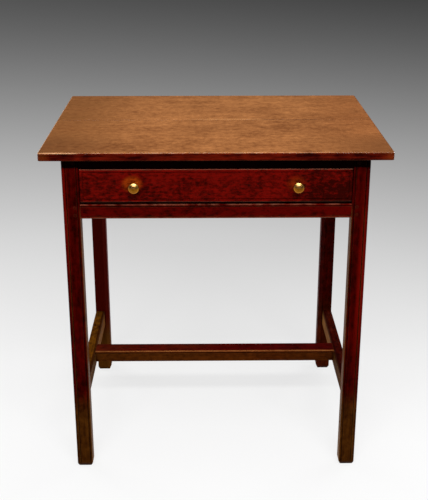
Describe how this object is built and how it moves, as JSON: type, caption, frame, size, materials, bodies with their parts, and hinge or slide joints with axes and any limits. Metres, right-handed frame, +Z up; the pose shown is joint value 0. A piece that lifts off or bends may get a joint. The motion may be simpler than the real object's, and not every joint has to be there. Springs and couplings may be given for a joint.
{
  "type": "tavern table with drawer",
  "caption": "Small rectangular wooden table with an overhanging top, straight moulded legs, a shallow frieze drawer with round brass knobs, and an H-shaped stretcher near the floor.",
  "frame": {"origin": "on the floor, under the middle of the top", "axes": "+Z up, +X to the right seen from the front, -Y out of the drawer's front"},
  "size_m": [0.686, 0.508, 0.717],
  "materials": {
    "top_wood": "waxed, semi-gloss",
    "frame_wood": "dark stain, waxed",
    "drawer_wood": "red stain, waxed",
    "peg_wood": "oiled",
    "inner_wood": "bare, aged",
    "brass": "polished, aged",
    "iron": "dark, dull"
  },
  "bodies": {
    "frame": {"top_board_front": "top_wood", "top_board_back": "top_wood", "leg_front_left": "frame_wood", "leg_front_right": "frame_wood", "leg_back_left": "frame_wood", "leg_back_right": "frame_wood", "upper_front_rail": "frame_wood", "lower_front_rail": "frame_wood", "side_apron_left": "frame_wood", "side_apron_right": "frame_wood", "back_apron": "frame_wood", "side_stretcher_left": "frame_wood", "side_stretcher_right": "frame_wood", "medial_stretcher": "frame_wood", "rail_pegs": "peg_wood", "apron_pegs": "peg_wood", "stretcher_pegs": "peg_wood", "top_dowels": "peg_wood", "runner_left": "inner_wood", "runner_right": "inner_wood", "guide_left": "inner_wood", "guide_right": "inner_wood", "kicker_left": "inner_wood", "kicker_right": "inner_wood", "drawer_stops": "inner_wood", "glue_blocks": "inner_wood", "top_screws": "iron"},
    "drawer": {"drawer_front": "drawer_wood", "drawer_side_left": "inner_wood", "drawer_side_right": "inner_wood", "drawer_back": "inner_wood", "drawer_bottom": "inner_wood", "knob_left": "brass", "knob_right": "brass", "knob_nuts": "brass", "drawer_nails": "iron"}
  },
  "joints": [
    {"name": "drawer_slide", "type": "slide", "parent": "frame", "child": "drawer", "axis": [0, -1, 0], "range_m": [0, 0.3]}
  ]
}
